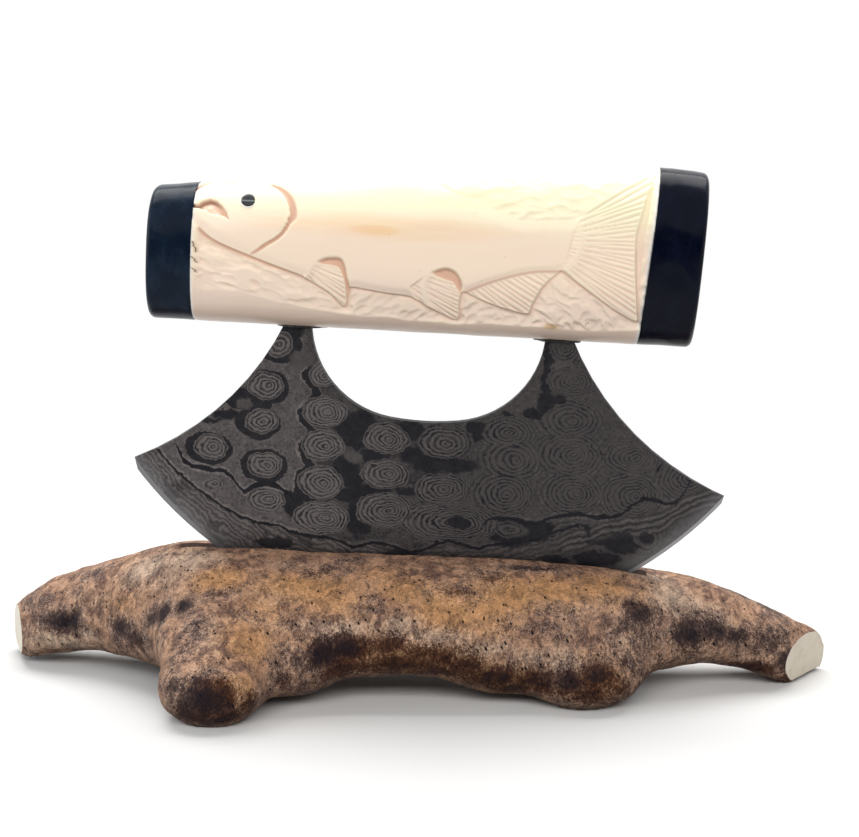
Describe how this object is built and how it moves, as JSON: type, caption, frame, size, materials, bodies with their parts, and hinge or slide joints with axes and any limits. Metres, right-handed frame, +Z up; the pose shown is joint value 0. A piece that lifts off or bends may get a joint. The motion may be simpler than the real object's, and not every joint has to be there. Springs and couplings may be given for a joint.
{
  "type": "ulu knife",
  "caption": "Fan-shaped ulu knife with a raised carved handle on two posts, standing upright in a slotted antler rest.",
  "frame": {"origin": "on the table under the middle of the stand's footprint", "axes": "+X along the stand and the handle, from the fish's head to its tail; +Z up; the carved front faces -Y"},
  "size_m": [0.2236, 0.0678, 0.137],
  "materials": {
    "antler": "tan antler with dark brown patches, dry and slightly pitted",
    "damascus_steel": "etched raindrop damascus, dark grey with lighter lines and a satin edge",
    "carved_ivory": "polished cream ivory with tan shading in the carving",
    "black_horn": "polished black",
    "black_inlay": "polished black",
    "pale_inlay": "satin off-white",
    "black_bedding": "cured black epoxy",
    "pin_steel": "plain steel, hidden"
  },
  "bodies": {
    "stand": {"stand": "antler"},
    "knife": {"blade": "damascus_steel", "handle_core": "carved_ivory", "left_cap": "black_horn", "right_cap": "black_horn", "eye_pupil": "black_inlay", "eye_ring": "pale_inlay", "tang_epoxy_left": "black_bedding", "tang_epoxy_right": "black_bedding", "cap_pin_left_lower": "pin_steel", "cap_pin_left_upper": "pin_steel", "cap_pin_right_lower": "pin_steel", "cap_pin_right_upper": "pin_steel"}
  },
  "joints": [
    {"name": "lift_out", "type": "slide", "parent": "stand", "child": "knife", "axis": [0.0471, 0, 0.9989], "range_m": [0, 0.03]}
  ]
}
